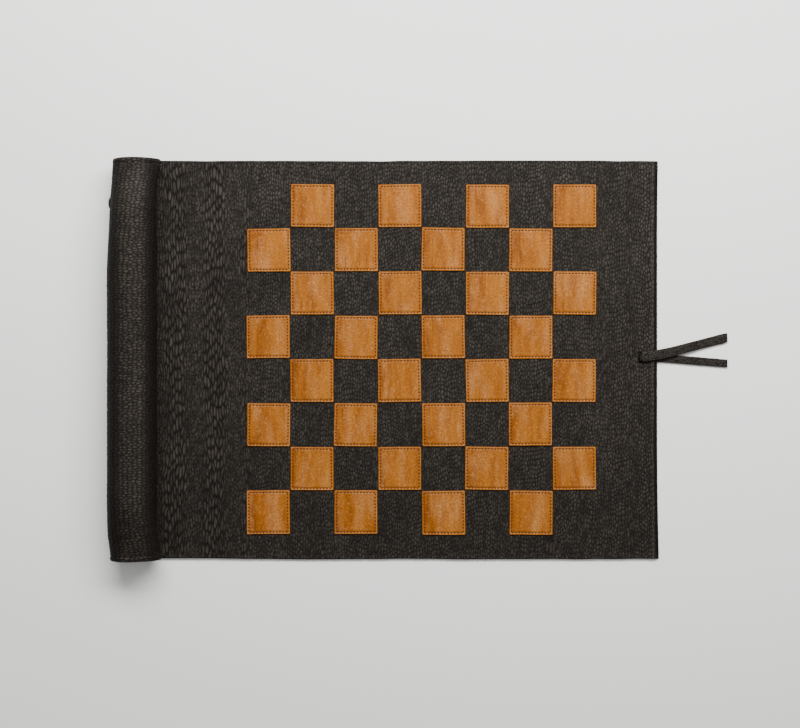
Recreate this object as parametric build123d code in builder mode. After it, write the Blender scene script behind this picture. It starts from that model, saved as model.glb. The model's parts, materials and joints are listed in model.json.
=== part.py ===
from build123d import *
import os
from math import cos, sin, radians, degrees, atan2, acos, tan, sqrt

# Roll-up draughts mat: leather playing surface, zipped tubular pouch along the
# left edge, thong tie at the right edge.  Millimetres, +Z up, table at z = 0.

# ---- driving dimensions ------------------------------------------------------
SQUARE = 38.0            # one playing square
FIELD = 8 * SQUARE       # 304 playing field
MAT_W = 345.0            # along Y
MAT_T = 2.6              # face leather bonded to lining
TAN_T = 1.2              # light square patches
PIVOT_Z = MAT_T + TAN_T  # bend lines lie in the top plane

TUBE_R = 21.0            # pouch outside radius
WALL = 2.0               # pouch leather
TUBE_CX = -248.8         # pouch centre, from the playing field's centre
RIGHT_EDGE = 205.3       # free edge, from the playing field's centre
FLANGE_END = -229.7      # edge of the turned-out seam flange
FLANGE_T = 2.0
FIRST_BEND = -226.5

ZIP_ANGLE = 185.0        # zip centre line, seen from the -Y end
LIP_HALF = 13.5          # half the gap between the leather lips
ZIP_Y0, ZIP_Y1 = -158.0, 141.0
TAPE_IN, TAPE_OUT = 18.3, 19.0
ROW_X0, ROW_X1 = 17.8, 19.5
ROW_Y0, ROW_Y1 = 0.65, 2.85
SLIDER_L = 11.0
SLIDER_Y1 = 139.5
BAR_R = 0.45
BAR_X = 21.9
EYE_IN, EYE_OUT = 0.62, 1.15
PULL_L = 10.6
PULL_W = 5.6

GUSSET_T = 2.0
GUSSET_IN = 1.0          # gusset face set in from the mat's edge

MAN_D, MAN_T, MEN_EACH = 30.0, 9.0, 12

SLIT_X, SLIT_Y = 190.2, 1.7
SLIT_W, SLIT_L = 1.9, 8.7
THONG_T = 1.7
UPPER_W, LOWER_W = 7.6, 6.2
RIDGE_T = 1.0
GAP = 0.02               # half the hairline between neighbouring strips

# strips between bend lines, left to right
LEFT_MARGIN = -FIELD / 2 - FIRST_BEND
STRIPS = [LEFT_MARGIN / 4] * 4 + [SQUARE / 2] * 16 + [17.0, 17.0, RIGHT_EDGE - FIELD / 2 - 34.0]

# ---- frame: middle of the whole thing without the thong ----------------------
tube_cz = TUBE_R
er = (cos(radians(ZIP_ANGLE)), sin(radians(ZIP_ANGLE)))
bar_x = TUBE_CX + BAR_X * er[0]
bar_z = tube_cz + BAR_X * er[1]
LEFT_REACH = bar_x - EYE_OUT
SX = -(LEFT_REACH + RIGHT_EDGE) / 2
CX = TUBE_CX + SX

os.makedirs("parts", exist_ok=True)


def send(builder, name):
    builder.part.label = name
    export_step(builder.part, f"parts/{name}.step")


def ray(angle, r=40.0):
    return (CX + r * cos(radians(angle)), tube_cz + r * sin(radians(angle)))


# ---- pouch: the mat leather carried under the tube and up to the lower lip ----
with BuildPart() as pouch_base:
    with BuildSketch(Plane.XZ):
        with Locations((CX, tube_cz)):
            Circle(TUBE_R)
            Circle(TUBE_R - WALL, mode=Mode.SUBTRACT)
        Polygon((CX, tube_cz), ray(ZIP_ANGLE + LIP_HALF), ray(234), ray(270), align=None, mode=Mode.INTERSECT)
        with Locations(((CX + FIRST_BEND + SX - GAP) / 2, MAT_T / 2)):
            Rectangle(FIRST_BEND + SX - GAP - CX, MAT_T)
    extrude(amount=MAT_W / 2, both=True)
send(pouch_base, "pouch_base")

# ---- pouch: cover leather over the top, down the right side, turned out --------
wall_in_x = CX + sqrt((TUBE_R - WALL) ** 2 - (tube_cz - MAT_T) ** 2)
with BuildPart() as pouch_cover:
    with BuildSketch(Plane.XZ):
        with Locations((CX, tube_cz)):
            Circle(TUBE_R)
            Circle(TUBE_R - WALL, mode=Mode.SUBTRACT)
        Polygon((CX, tube_cz), (CX, MAT_T), (CX + 60, MAT_T), (CX + 60, 60), ray(90, 60), ray(135, 80),
                ray(ZIP_ANGLE - LIP_HALF), align=None, mode=Mode.INTERSECT)
        Polygon((wall_in_x + 0.6, MAT_T), (FLANGE_END + SX, MAT_T), (FLANGE_END + SX, MAT_T + FLANGE_T),
                (wall_in_x + 5.3, MAT_T + FLANGE_T), align=None)
    extrude(amount=MAT_W / 2, both=True)
send(pouch_cover, "pouch_cover")

# ---- round end gussets ----------------------------------------------------------
with BuildPart() as end_gussets:
    for side in (-1, 1):
        y_mid = side * (MAT_W / 2 - GUSSET_IN - GUSSET_T / 2)
        with BuildSketch(Plane.XZ.offset(-y_mid)):
            with Locations((CX, tube_cz)):
                Circle(TUBE_R - WALL)
            with Locations((CX + 30, MAT_T / 2)):
                Rectangle(60, MAT_T, mode=Mode.SUBTRACT)
        extrude(amount=GUSSET_T / 2, both=True)
send(end_gussets, "end_gussets")

# ---- zip ---------------------------------------------------------------------------
with BuildPart() as zip_tapes:
    with BuildSketch(Plane.XZ):
        with Locations((CX, tube_cz)):
            Circle(TAPE_OUT)
            Circle(TAPE_IN, mode=Mode.SUBTRACT)
        Polygon((CX, tube_cz), ray(ZIP_ANGLE - 30), ray(ZIP_ANGLE), ray(ZIP_ANGLE + 30),
                align=None, mode=Mode.INTERSECT)
        Polygon((CX, tube_cz), ray(ZIP_ANGLE - 7.5), ray(ZIP_ANGLE + 7.5),
                align=None, mode=Mode.SUBTRACT)
    extrude(amount=(ZIP_Y1 - ZIP_Y0) / 2 + 6, both=True)
zip_tapes_at = (ZIP_Y0 + ZIP_Y1) / 2
zip_tapes.part.locate(Location((0, zip_tapes_at, 0)))
send(zip_tapes, "zip_tapes")

# zip plane: local x outward from the tube's axis, local y up the flank, normal +Y
zip_plane = Plane(origin=(CX, 0, tube_cz), x_dir=(er[0], 0, er[1]), z_dir=(0, 1, 0))

with BuildPart() as zip_rows:
    with BuildSketch(zip_plane.offset(ZIP_Y0)):
        for s in (-1, 1):
            with Locations(((ROW_X0 + ROW_X1) / 2, s * (ROW_Y0 + ROW_Y1) / 2)):
                RectangleRounded(ROW_X1 - ROW_X0, ROW_Y1 - ROW_Y0, 0.5)
    extrude(amount=ZIP_Y1 - ZIP_Y0)
send(zip_rows, "zip_rows")

with BuildPart() as zip_stops:
    with BuildSketch(zip_plane.offset(ZIP_Y1 + 0.1)):
        for s in (-1, 1):
            with Locations(((ROW_X0 + ROW_X1) / 2, s * 1.9)):
                Rectangle(2.3, 2.3)
    extrude(amount=2.2)
    with BuildSketch(zip_plane.offset(ZIP_Y0 - 0.1)):
        with Locations(((ROW_X0 + ROW_X1) / 2, 0)):
            Rectangle(2.3, 6.0)
    extrude(amount=-2.6)
send(zip_stops, "zip_stops")

with BuildPart() as zip_slider:
    y0 = SLIDER_Y1 - SLIDER_L
    with BuildSketch(zip_plane.offset(y0)):
        with Locations((20.15, 0)):
            Rectangle(0.8, 7.8)
        with Locations((17.15, 0)):
            Rectangle(0.9, 7.8)
        for s in (-1, 1):
            with Locations((19.55, s * 3.5)):
                Rectangle(0.6, 0.8)
            with Locations((17.68, s * 3.5)):
                Rectangle(0.24, 0.8)
    extrude(amount=SLIDER_L)
    with BuildSketch(zip_plane.offset(SLIDER_Y1 - 3.0)):
        with Locations((18.65, 0)):
            Rectangle(2.3, 0.96)
    extrude(amount=3.0)
    with BuildSketch(zip_plane.offset(y0 + 1.2)):
        with Locations((BAR_X, 0)):
            Circle(BAR_R)
    extrude(amount=SLIDER_L - 2.4)
    for yy in (y0 + 1.2, SLIDER_Y1 - 2.2):
        with BuildSketch(zip_plane.offset(yy)):
            with Locations(((20.5 + BAR_X + BAR_R) / 2, 0)):
                Rectangle(BAR_X + BAR_R - 20.5, 1.6)
        extrude(amount=1.0)
send(zip_slider, "zip_slider")

pull_y = SLIDER_Y1 - SLIDER_L / 2
with BuildPart() as zip_pull:
    with BuildSketch(Plane.XZ.offset(-pull_y)):
        with Locations((bar_x + SX, bar_z)):
            Circle(EYE_OUT)
        with Locations((bar_x + SX - 0.45, bar_z - 2.2)):
            Rectangle(1.1, 3.4)
        with Locations((bar_x + SX, bar_z)):
            Circle(EYE_IN, mode=Mode.SUBTRACT)
    extrude(amount=PULL_W / 2, both=True)
    with BuildSketch(Plane.YZ.offset(bar_x + SX - 1.0)):
        with Locations((pull_y, bar_z - 2.4 - (PULL_L - 2.4) / 2)):
            RectangleRounded(PULL_W + 1.2, PULL_L - 2.4, 1.8)
        with Locations((pull_y, bar_z - PULL_L + 2.9)):
            Circle(1.2, mode=Mode.SUBTRACT)
    extrude(amount=1.1)
send(zip_pull, "zip_pull")

# ---- draughts stored in the pouch --------------------------------------------------
man_z = MAT_T + MAN_D / 2
for name, first in (("men_light", 0), ("men_dark", MEN_EACH)):
    with BuildPart() as men:
        for i in range(first, first + MEN_EACH):
            y_at = (i - MEN_EACH) * MAN_T
            with BuildSketch(Plane.XZ.offset(-y_at)):
                with Locations((CX, man_z)):
                    Circle(MAN_D / 2)
            extrude(amount=-(MAN_T - 0.06))
            with BuildSketch(Plane.XZ.offset(-y_at)):
                with Locations((CX, man_z)):
                    Circle(MAN_D / 2 - 3.0)
                    Circle(MAN_D / 2 - 5.0, mode=Mode.SUBTRACT)
            extrude(amount=-0.6, mode=Mode.SUBTRACT)
    send(men, name)

# ---- mat strips between bend lines ----------------------------------------------------
x = FIRST_BEND + SX
bends = []
for i, width in enumerate(STRIPS):
    bends.append(x)
    last = i == len(STRIPS) - 1
    with BuildPart() as strip:
        with BuildSketch():
            with Locations(((2 * x + width) / 2, 0)):
                Rectangle(width - (GAP if last else 2 * GAP), MAT_W)
        extrude(amount=MAT_T)
        if last:
            # leather lifts over the thong that runs below it to the free edge
            ridge_x0, ridge_x1 = SLIT_X + SX + 2.0, RIGHT_EDGE + SX - 0.4
            with BuildSketch(Plane.XY.offset(MAT_T)):
                with Locations(((ridge_x0 + ridge_x1) / 2, 1.0)):
                    Rectangle(ridge_x1 - ridge_x0, 9.6)
            extrude(amount=RIDGE_T)
            chan_x0 = SLIT_X + SX - SLIT_W / 2
            with BuildSketch():
                with Locations(((chan_x0 + RIGHT_EDGE + SX + 1) / 2, 1.0)):
                    Rectangle(RIGHT_EDGE + SX + 1 - chan_x0, 7.8)
            extrude(amount=2.0, mode=Mode.SUBTRACT)
            with BuildSketch():
                with Locations((SLIT_X + SX, SLIT_Y)):
                    Rectangle(SLIT_W, SLIT_L)
            extrude(amount=6.0, mode=Mode.SUBTRACT)
    send(strip, f"mat_{i + 1:02d}")
    x += width

# ---- light squares, each cut on the bend line through its middle ----------------------
for col in range(8):
    for half in (0, 1):
        x0 = -FIELD / 2 + SX + col * SQUARE + half * SQUARE / 2
        x1 = x0 + SQUARE / 2
        x0 += GAP if half else 0.1
        x1 -= 0.1 if half else GAP
        with BuildPart() as patch:
            for row in range(8):
                if (row + col) % 2:
                    y_at = FIELD / 2 - (row + 0.5) * SQUARE
                    with BuildSketch(Plane.XY.offset(MAT_T)):
                        with Locations(((x0 + x1) / 2, y_at)):
                            Rectangle(x1 - x0, SQUARE - 0.2)
                    extrude(amount=TAN_T)
        send(patch, f"light_square_{col + 1}{'ab'[half]}")

# ---- thong: one strap threaded through the slit ------------------------------------------
top_z = MAT_T + RIDGE_T + THONG_T / 2
low_z = 0.1 + THONG_T / 2
join_x = SLIT_X + SX + 1.9
with BuildPart() as thong_fold:
    with BuildSketch(Plane.XZ.offset(-1.6)):
        leg_x = SLIT_X + SX
        with Locations((leg_x, (top_z + low_z) / 2)):
            Rectangle(THONG_T, top_z - low_z + THONG_T)
        for zz in (top_z, low_z):
            with Locations(((leg_x + join_x) / 2, zz)):
                Rectangle(join_x - leg_x, THONG_T)
    extrude(amount=LOWER_W / 2, both=True)
    fillet(thong_fold.edges().filter_by(Axis.Y).group_by(Axis.X)[0], 0.8)
send(thong_fold, "thong_fold")

upper_pts = [(192.1, 1.6, top_z), (209.0, 4.1, top_z), (228.0, 8.9, 3.0), (247.0, 13.9, low_z), (266.3, 18.65, low_z)]
lower_pts = [(192.1, 1.5, low_z), (210.0, 0.55, low_z), (229.0, -0.9, low_z), (247.5, -2.4, low_z), (266.3, -3.9, low_z)]


def route(points, width):
    """Fillet radii at the inner points: 0.45 of the shorter run over tan(half the turn)."""
    out = []
    for a, b, c in zip(points, points[1:], points[2:]):
        u = Vector(*b) - Vector(*a)
        v = Vector(*c) - Vector(*b)
        turn = radians(max(u.get_angle(v), 0.01))
        out.append(0.45 * min(u.length, v.length) / tan(turn / 2))
    return out


for name, pts, width in (("thong_upper", upper_pts, UPPER_W), ("thong_lower", lower_pts, LOWER_W)):
    pts = [(p[0] + SX, p[1], p[2]) for p in pts]
    pts[0] = (join_x, pts[0][1], pts[0][2])
    radii = route(pts, width)
    length = sum((Vector(*b) - Vector(*a)).length for a, b in zip(pts, pts[1:]))
    print(name, "radii", [round(r, 1) for r in radii], "length", round(length, 1))
    print(name, "points", [tuple(round(c, 2) for c in p) for p in pts])
    with BuildPart() as thong:
        with BuildLine() as path:
            FilletPolyline(*pts, radius=min(radii))
        d = path.line @ 0
        with BuildSketch(Plane(origin=d, x_dir=(0, 1, 0), z_dir=(1, 0, 0))):
            Rectangle(width, THONG_T)
        sweep()
    send(thong, name)

print("SX", SX, "CX", CX, "tube_cz", tube_cz, "bar", bar_x + SX, bar_z)
print("bends", [round(b, 4) for b in bends], "right", round(x, 4))
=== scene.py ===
import json
import math
import bmesh
import bpy
import numpy as np
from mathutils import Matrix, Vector


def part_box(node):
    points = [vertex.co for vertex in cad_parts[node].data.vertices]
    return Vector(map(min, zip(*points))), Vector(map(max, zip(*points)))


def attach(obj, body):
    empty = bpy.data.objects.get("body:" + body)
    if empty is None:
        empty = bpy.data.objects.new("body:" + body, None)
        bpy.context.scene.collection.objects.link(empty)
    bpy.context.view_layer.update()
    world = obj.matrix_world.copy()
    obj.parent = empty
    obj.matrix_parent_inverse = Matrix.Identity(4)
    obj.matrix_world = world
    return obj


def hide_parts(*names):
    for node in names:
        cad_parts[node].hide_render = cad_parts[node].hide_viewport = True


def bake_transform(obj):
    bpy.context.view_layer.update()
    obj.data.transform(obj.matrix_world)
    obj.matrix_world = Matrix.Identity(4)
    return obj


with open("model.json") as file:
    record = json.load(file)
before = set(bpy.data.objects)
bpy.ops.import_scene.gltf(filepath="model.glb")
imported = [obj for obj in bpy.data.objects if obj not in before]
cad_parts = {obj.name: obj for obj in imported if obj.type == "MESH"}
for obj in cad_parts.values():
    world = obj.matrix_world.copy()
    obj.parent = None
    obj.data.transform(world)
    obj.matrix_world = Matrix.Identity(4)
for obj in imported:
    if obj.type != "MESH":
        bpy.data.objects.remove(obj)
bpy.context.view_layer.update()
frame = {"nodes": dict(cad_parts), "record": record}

MM = 0.001
RNG = np.random.default_rng(7)

# ------------------------------------------------------------------ frame facts (mm)
JOINTS = {j["name"]: j for j in frame["record"]["behaviour"]["joints"]}
BENDS = [JOINTS[f"bend_{i:02d}"]["pos_m"][0] * 1000 for i in range(1, 24)]
STRIP = [f"strip_{i:02d}" for i in range(1, 24)]


def node_box(name):
    lo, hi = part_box(name)
    return [c * 1000 for c in lo], [c * 1000 for c in hi]


(_, _, _), (RIGHT, HALF_W, _) = node_box("mat_23")
COVER_LO, COVER_HI = node_box("pouch_cover")
SQ = [node_box(f"light_square_{c}a")[0][0] - 0.1 for c in range(1, 9)]
SX = SQ[0] + 152.0                     # playing field's centre in X
SQUARE = SQ[1] - SQ[0]
CX = -248.8 + SX                       # pouch axis
CZ = 21.0
R_OUT = 21.0
FLANGE = COVER_HI[0] if COVER_HI[0] < -190 else -229.7 + SX
FLANGE = -229.7 + SX
MAT_T = 2.6
TAN_TOP = 3.8

# ------------------------------------------------------------------ camera
cam_data = bpy.data.cameras.new("camera")
cam = bpy.data.objects.new("camera", cam_data)
bpy.context.scene.collection.objects.link(cam)
PX = 0.8696
cam.location = ((-18.7 + SX) * MM, -4.35 * MM, 1.40)
cam.rotation_euler = (0, 0, 0)
cam_data.sensor_fit = "HORIZONTAL"
cam_data.sensor_width = 36.0
cam_data.lens = 36.0 * 1.397 / (800 * PX * MM)
cam_data.clip_start = 0.05
cam_data.clip_end = 20
bpy.context.scene.camera = cam


# ------------------------------------------------------------------ numpy noise
def hash2(ix, iy, seed):
    n = (ix.astype(np.int64) * 374761393 + iy.astype(np.int64) * 668265263 + seed * 2147483629) & 0xFFFFFFFF
    n = ((n ^ (n >> 13)) * 1274126177) & 0xFFFFFFFF
    n = (n ^ (n >> 16)) & 0xFFFFFFFF
    return n.astype(np.float64) / 4294967295.0


def vnoise(x, y, seed=0):
    x, y = np.broadcast_arrays(np.asarray(x, float), np.asarray(y, float))
    ix, iy = np.floor(x), np.floor(y)
    fx, fy = x - ix, y - iy
    u, v = fx * fx * fx * (fx * (fx * 6 - 15) + 10), fy * fy * fy * (fy * (fy * 6 - 15) + 10)
    a, b = hash2(ix, iy, seed), hash2(ix + 1, iy, seed)
    c, d = hash2(ix, iy + 1, seed), hash2(ix + 1, iy + 1, seed)
    return (a + (b - a) * u) * (1 - v) + (c + (d - c) * u) * v - 0.5


def fbm(x, y, seed=0, octaves=3):
    out, amp = 0.0, 1.0
    for o in range(octaves):
        out = out + amp * vnoise(x * 2 ** o, y * 2 ** o, seed + 17 * o)
        amp *= 0.5
    return out


def worley(x, y, seed=0):
    """Nearest and second nearest cell distance; every column of cells is slid along by its own amount."""
    x, y = np.broadcast_arrays(np.asarray(x, float), np.asarray(y, float))
    ix = np.floor(x)
    f1 = np.full(x.shape, 9.0)
    f2 = np.full(x.shape, 9.0)
    for dx in (-1, 0, 1):
        cx = ix + dx
        yy = y + 5.0 * hash2(cx, 0 * cx + 3, seed + 7)
        iy = np.floor(yy)
        for dy in (-1, 0, 1):
            cy = iy + dy
            px = cx + 0.15 + 0.7 * hash2(cx, cy, seed)
            py = cy + 0.15 + 0.7 * hash2(cx, cy, seed + 91)
            d = np.hypot(px - x, py - yy)
            nearer = d < f1
            f2 = np.where(nearer, f1, np.minimum(f2, d))
            f1 = np.where(nearer, d, f1)
    return f1, f2


def sstep(a, b, x):
    t = np.clip((np.asarray(x, float) - a) / (b - a), 0, 1)
    return t * t * (3 - 2 * t)


def bump1(x, centre, width):
    return np.exp(-((x - centre) / width) ** 2)


# ------------------------------------------------------------------ leather relief on the mat
# board coordinates: bx, by from the playing field's centre, mm
CREASES = [(-218, 6.5), (-210, 5.0), (-184, 6.0), (-176, 5.0), (-152, 6.0), (-121, 4.0), (-97, 5.0), (-76, 4.0),
           (-40, 4.5), (-12, 4.0), (3, 4.0), (36, 5.0), (66, 4.0), (78, 4.5), (112, 5.0), (138, 4.0), (158, 5.0), (181, 4.0)]


def crease_weight(bx, by):
    w = np.zeros(np.broadcast(bx, by).shape)
    for k, (c, s) in enumerate(CREASES):
        sway = 4.0 * vnoise(np.asarray(by) / 55.0 + 3.1 * k, k * 1.7 + 0 * np.asarray(by), 400)
        strength = 0.75 + 0.9 * vnoise(np.asarray(by) / 38.0 + 9.7 * k, k * 2.3 + 0 * np.asarray(by), 410)
        w = w + np.clip(strength, 0.15, 1.3) * bump1(bx, c + sway, s)
    margin = sstep(-150, -165, bx) * 0.30
    return np.clip(w * (0.55 + 0.45 * sstep(-140, -170, bx)) + margin, 0, 1.15)


def leather_relief(bx, by):
    """Height in mm of the pebbled black leather's grain and creases."""
    wx = 2.2 * fbm(bx / 12.0, by / 15.0, 11, 2)
    wy = 1.8 * fbm(bx / 9.0, by / 12.0, 12, 2)
    x, y = bx + wx, by + wy
    f1, f2 = worley(x / 2.35, y / 11.0, 21)
    tall = np.clip((f2 - f1) / 0.46, 0, 1)
    tall = tall * tall * (3 - 2 * tall)
    g1, g2 = worley(x / 2.15 + 50, y / 3.9, 33)
    round_ = np.clip((g2 - g1) / 0.50, 0, 1)
    w = crease_weight(bx, by)
    big = 0.16 * fbm(bx / 13.0, by / 70.0, 44, 2)
    return w * 0.50 * (tall - 0.62) + (1.0 - 0.70 * np.clip(w, 0, 1)) * 0.28 * (round_ - 0.6) + big


def leather_tone_and_painted_light(bx, by):
    """0 in the grain's valleys, 1 on its crests, so it paints shade into the valleys and highlight onto the crests;
    drives the colour and the shine.
    """
    wx = 2.2 * fbm(bx / 12.0, by / 15.0, 11, 2)
    wy = 1.8 * fbm(bx / 9.0, by / 12.0, 12, 2)
    x, y = bx + wx, by + wy
    f1, f2 = worley(x / 2.35, y / 11.0, 21)
    g1, g2 = worley(x / 2.15 + 50, y / 3.9, 33)
    tall, round_ = np.clip((f2 - f1) / 0.46, 0, 1), np.clip((g2 - g1) / 0.48, 0, 1)
    w = np.clip(crease_weight(bx, by) * 1.1, 0, 1)
    tone = w * (0.03 + 0.92 * tall) + (1 - w) * (0.10 + 0.84 * round_)
    patchy = 0.92 + 0.50 * vnoise(bx / 2.6, by / 6.0, 55) + 0.12 * fbm(bx / 18.0, by / 30.0, 56, 2)
    tone = tone * patchy
    # waxed black hem along the free edge, with a painted highlight on the raised crest beside it
    d_x = (RIGHT - SX) - bx
    tone = np.where(d_x < 2.9, 0.05 + 0.1 * tone, tone + 0.28 * np.exp(-((d_x - 4.4) / 1.2) ** 2))
    d_y = HALF_W - np.abs(by)
    tone = tone * (1 - 0.6 * np.exp(-(d_y / 0.8) ** 2)) + 0.16 * np.exp(-((d_y - 2.7) / 1.3) ** 2)
    # the slit is painted black: painted shade down the hole
    slit = (np.abs(bx - 190.3) < 1.7) & (np.abs(by - 1.7) < 5.0)
    tone = np.where(slit, 0.0, tone)
    return np.clip(tone, 0, 1)


def warp_points(V):
    """The hide isn't cut dead true: its near edge bellies out a little, and both long edges waver."""
    V = np.array(V, float)
    x, y = V[:, 0] - SX, V[:, 1]
    near = np.clip((-90.0 - y) / 82.5, 0, 1)
    far = np.clip((y - 90.0) / 82.5, 0, 1)
    wave = vnoise(x / 46.0, 0 * x, 301) * 0.9 + vnoise(x / 17.0, 0 * x, 302) * 0.35
    wave2 = vnoise(x / 46.0, 0 * x, 311) * 0.9 + vnoise(x / 17.0, 0 * x, 312) * 0.35
    V[:, 1] = y - near ** 2 * (1.55 + wave) + far ** 2 * wave2 * 0.9
    open_side = np.clip((x - 120.0) / 85.3, 0, 1) ** 2
    V[:, 0] = V[:, 0] + open_side * (1.5 * np.clip((-y - 60) / 112.5, 0, 1) ** 2 + 0.7 * np.clip((y - 100) / 72.5, 0, 1) ** 2)
    return V


def edge_round(d, r):
    """Drop at distance d inside an edge rounded with radius r."""
    d = np.clip(d, 0, r)
    return r - np.sqrt(np.maximum(r * r - (r - d) ** 2, 0))


def lift(bx, by):
    """The leather rides over the lower thong between the slit and the free edge."""
    line = 1.55 + (bx - 190.2) * -0.048
    return 0.85 * np.exp(-((by - line) / 3.9) ** 4) * sstep(190.6, 194.0, bx)


def face_top(bx, by):
    z = MAT_T - 0.28 + leather_relief(bx, by)
    d_y = HALF_W - np.abs(by)
    # run of stitches sunk along the two long edges, and the painted edge beyond
    z = z - 0.16 * np.exp(-((d_y - 2.7) / 0.75) ** 2) + 0.14 * np.exp(-((d_y - 1.4) / 0.7) ** 2)
    z = z - 0.9 * edge_round(d_y, 1.1)
    d_x = (RIGHT - SX) - bx
    corner = 4.0
    z = np.where((d_x < corner) & (d_y < corner) & (np.hypot(corner - d_x, corner - d_y) > corner), 0.95, z)
    z = z + 0.40 * np.exp(-((d_x - 5.0) / 1.15) ** 2) - 0.22 * np.exp(-((d_x - 7.2) / 0.8) ** 2)
    z = z - 1.0 * edge_round(d_x, 3.2) * 0.55
    # the leather rides up over the lower thong between the slit and the free edge
    z = z + lift(bx, by)
    slit = (np.abs(bx - 190.2) < 1.0) & (np.abs(by - 1.7) < 4.35)
    z = np.where(slit, 0.25, z)
    return np.maximum(z, 0.25)


def face_bottom(bx, by):
    return 0.9 + lift(bx, by) * 1.25


# ------------------------------------------------------------------ mesh helpers
def new_mesh(name, verts, quads, normals=None, rest=None, smooth=True, tris=None):
    me = bpy.data.meshes.new(name)
    verts = np.asarray(warp_points(verts), np.float32)
    faces = [np.asarray(quads, np.int32).reshape(-1, 4)] if quads is not None and len(quads) else []
    n4 = len(faces[0]) if faces else 0
    n3 = len(tris) if tris is not None else 0
    me.vertices.add(len(verts))
    me.vertices.foreach_set("co", (verts * MM).ravel())
    loops = []
    if n4:
        loops.append(faces[0].ravel())
    if n3:
        loops.append(np.asarray(tris, np.int32).ravel())
    loops = np.concatenate(loops)
    me.loops.add(len(loops))
    me.loops.foreach_set("vertex_index", loops)
    me.polygons.add(n4 + n3)
    starts = np.concatenate([np.arange(n4) * 4, n4 * 4 + np.arange(n3) * 3])
    totals = np.concatenate([np.full(n4, 4), np.full(n3, 3)])
    me.polygons.foreach_set("loop_start", starts.astype(np.int32))
    me.polygons.foreach_set("loop_total", totals.astype(np.int32))
    me.polygons.foreach_set("use_smooth", np.full(n4 + n3, bool(smooth)))
    me.update(calc_edges=True)
    if rest is not None:
        at = me.attributes.new("rest", "FLOAT_VECTOR", "POINT")
        at.data.foreach_set("vector", np.asarray(rest, np.float32).ravel())
    if normals is not None:
        me.normals_split_custom_set_from_vertices([tuple(n) for n in normals])
    me.validate(clean_customdata=False)
    return me


def add(name, me, material):
    ob = bpy.data.objects.new(name, me)
    bpy.context.scene.collection.objects.link(ob)
    me.materials.append(material)
    return ob


def grid_faces(nx, ny, off=0, flip=False):
    i = np.arange(nx - 1)[:, None] * ny + np.arange(ny - 1)[None, :]
    i = i.ravel() + off
    q = np.stack([i, i + ny, i + ny + 1, i + 1], 1)
    return q[:, ::-1] if flip else q


def slab_piece(name, xs, ys, top, bottom, material, cap_left, cap_right, tone=None):
    """A closed slab over the board grid xs, ys with a relief top, and sides carried down to its underside."""
    nx, ny = len(xs), len(ys)
    X, Y = np.meshgrid(xs, ys, indexing="ij")
    Z = top(X, Y)
    e = 0.05
    gx = (top(X + e, Y) - top(X - e, Y)) / (2 * e)
    gy = (top(X, Y + e) - top(X, Y - e)) / (2 * e)
    N = np.stack([-gx, -gy, np.ones_like(gx)], -1)
    N /= np.linalg.norm(N, axis=-1)[..., None]
    B = np.maximum(np.minimum(bottom(X, Y), Z - 0.3), 0.02)
    v_top = np.stack([X + SX, Y, Z], -1).reshape(-1, 3)
    v_bot = np.stack([X + SX, Y, B], -1).reshape(-1, 3)
    n = nx * ny
    verts = [v_top, v_bot]
    rest = [np.stack([X, Y, Z], -1).reshape(-1, 3), np.stack([X, Y, B], -1).reshape(-1, 3)]
    if tone is not None:
        Z = tone(X, Y)
    rest = [np.stack([X, Y, Z], -1).reshape(-1, 3), np.stack([X, Y, 0.15 + 0 * B], -1).reshape(-1, 3)]
    norms = [N.reshape(-1, 3), np.tile([0, 0, -1.0], (n, 1))]
    quads = [grid_faces(nx, ny), grid_faces(nx, ny, n, True)]
    count = 2 * n
    idx = np.arange(n).reshape(nx, ny)
    rims = [(idx[:, 0], (0, -1, 0), False), (idx[:, -1], (0, 1, 0), True)]
    if cap_left:
        rims.append((idx[0, :], (-1, 0, 0), True))
    if cap_right:
        rims.append((idx[-1, :], (1, 0, 0), False))
    for line, nrm, flip in rims:
        m = len(line)
        verts += [v_top[line], v_bot[line]]
        rest += [rest[0][line], rest[1][line]]
        norms += [np.tile(nrm, (m, 1))] * 2
        a = count + np.arange(m - 1)
        q = np.stack([a, a + m, a + m + 1, a + 1], 1)
        quads.append(q[:, ::-1] if flip else q)
        count += 2 * m
    me = new_mesh(name, np.concatenate(verts), np.concatenate(quads), np.concatenate(norms), np.concatenate(rest))
    return add(name, me, material)


# ------------------------------------------------------------------ materials
def nodes_of(name):
    m = bpy.data.materials.new(name)
    m.use_nodes = True
    nt = m.node_tree
    bsdf = next(n for n in nt.nodes if n.type == "BSDF_PRINCIPLED")
    return m, nt, bsdf


def nnew(nt, kind, **kw):
    n = nt.nodes.new(kind)
    for k, v in kw.items():
        if k.startswith("in_"):
            key = k[3:]
            n.inputs[int(key) if key.isdigit() else key.replace("_", " ")].default_value = v
        else:
            setattr(n, k, v)
    return n


def coords(nt, mode):
    """Millimetre coordinates fixed to the piece at rest."""
    if mode == "rest":
        a = nnew(nt, "ShaderNodeAttribute", attribute_name="rest")
        return a.outputs["Vector"]
    t = nnew(nt, "ShaderNodeTexCoord")
    s = nnew(nt, "ShaderNodeVectorMath", operation="SCALE")
    s.inputs[3].default_value = 1000.0
    nt.links.new(t.outputs["Object"], s.inputs[0])
    return s.outputs[0]


def scaled(nt, src, xyz):
    n = nnew(nt, "ShaderNodeMapping")
    n.inputs["Scale"].default_value = xyz
    nt.links.new(src, n.inputs["Vector"])
    return n.outputs[0]


def tex_noise(nt, src, xyz, detail=3.0, rough=0.55, distort=0.0):
    n = nnew(nt, "ShaderNodeTexNoise")
    n.inputs["Scale"].default_value = 1.0
    n.inputs["Detail"].default_value = detail
    n.inputs["Roughness"].default_value = rough
    n.inputs["Distortion"].default_value = distort
    nt.links.new(scaled(nt, src, xyz), n.inputs["Vector"])
    return n.outputs["Fac"]


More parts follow.
